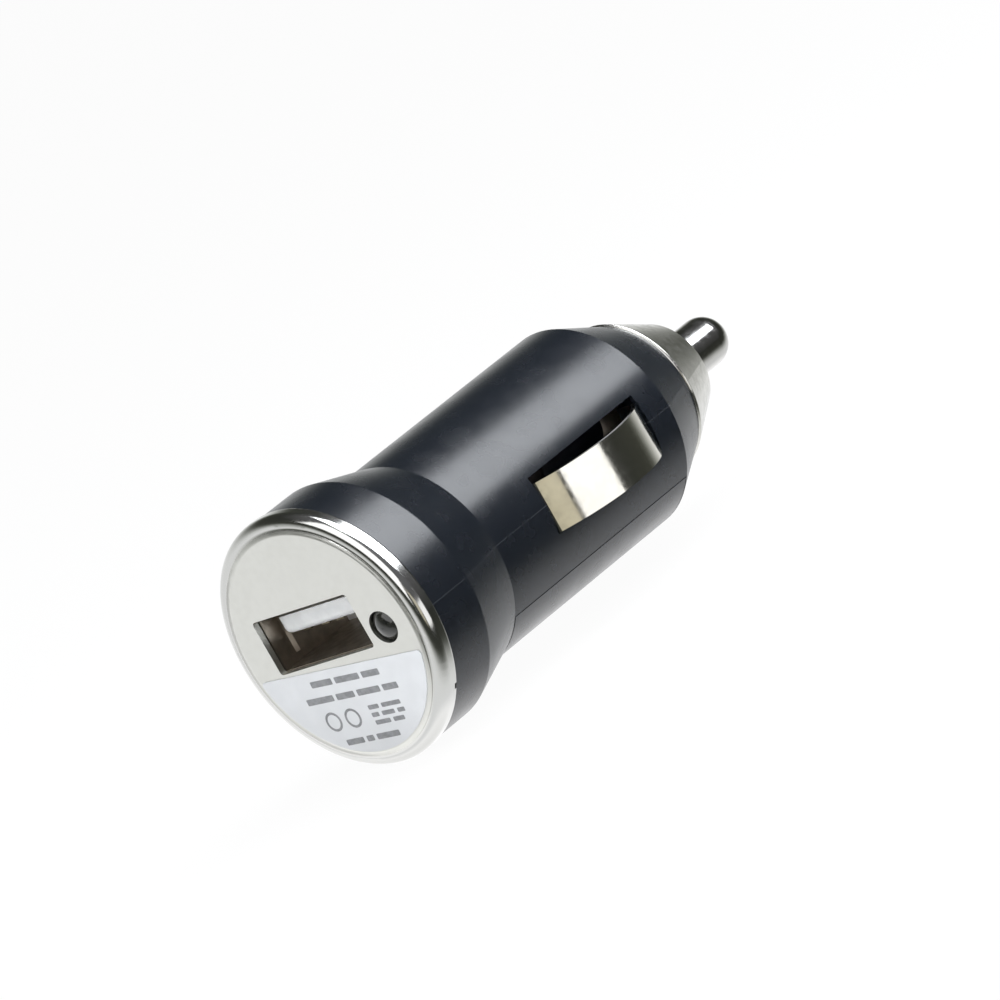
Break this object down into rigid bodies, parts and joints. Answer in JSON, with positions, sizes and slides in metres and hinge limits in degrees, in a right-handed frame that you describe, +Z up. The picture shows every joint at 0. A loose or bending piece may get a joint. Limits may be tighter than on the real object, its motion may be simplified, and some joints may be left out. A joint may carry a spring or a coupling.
{
  "type": "car usb charger",
  "caption": "Car charger that plugs into a lighter socket: black barrel with sprung side contacts, bright nose ring, sprung centre pin and a USB port in a bright end cap.",
  "frame": {"origin": "on the axis, where the neck meets the barrel and the socket's mouth stops", "axes": "+Y along the axis from the face towards the centre contact, +X towards the lamp, +Z up, away from the label"},
  "size_m": [0.0268, 0.0588, 0.0248],
  "materials": {
    "black_plastic": "satin",
    "bright_cap": "satin",
    "bright_ring": "polished",
    "bright_pin": "polished",
    "bright_leaf": "polished",
    "label": "matt",
    "spring_steel": "drawn",
    "plated_steel": "plated",
    "board": "solder mask",
    "white_plastic": "moulded",
    "gilt": "plated",
    "smoky_lamp": "clear smoky",
    "ferrite": "matt",
    "copper": "enamelled wire",
    "can": "sleeved",
    "chip_black": "moulded",
    "ceramic_dark": "glazed",
    "ceramic_tan": "matt"
  },
  "bodies": {
    "housing": {"main_housing": "black_plastic", "housing_cover": "black_plastic", "end_cap": "bright_cap", "face_label": "label", "nose_ring": "bright_ring", "tip_spring": "spring_steel", "spring_seat": "plated_steel", "circuit_board": "board", "usb_shell": "plated_steel", "usb_tongue": "white_plastic", "usb_contacts": "gilt", "indicator_led": "smoky_lamp", "led_leads": "plated_steel", "inductor_core": "ferrite", "inductor_winding": "copper", "input_capacitor": "can", "output_capacitor": "can", "converter_chip": "chip_black", "chip_leads": "plated_steel", "diode": "chip_black", "chip_resistors": "ceramic_dark", "chip_capacitors": "ceramic_tan"},
    "tip": {"centre_contact": "bright_pin"},
    "right_leaf": {"right_contact": "bright_leaf"},
    "left_leaf": {"left_contact": "bright_leaf"}
  },
  "joints": [
    {"name": "tip_press", "type": "slide", "parent": "housing", "child": "tip", "axis": [0, -1, 0], "range_m": [0, 0.0025], "stiffness_N_per_m": 1600, "springref_m": -0.00125, "deforming": ["tip_spring"]},
    {"name": "right_leaf_press", "type": "slide", "parent": "housing", "child": "right_leaf", "axis": [-1, 0, 0], "range_m": [0, 0.003], "stiffness_N_per_m": 2000, "springref_m": -0.0004},
    {"name": "left_leaf_press", "type": "slide", "parent": "housing", "child": "left_leaf", "axis": [1, 0, 0], "range_m": [0, 0.003], "stiffness_N_per_m": 2000, "springref_m": -0.0004}
  ]
}
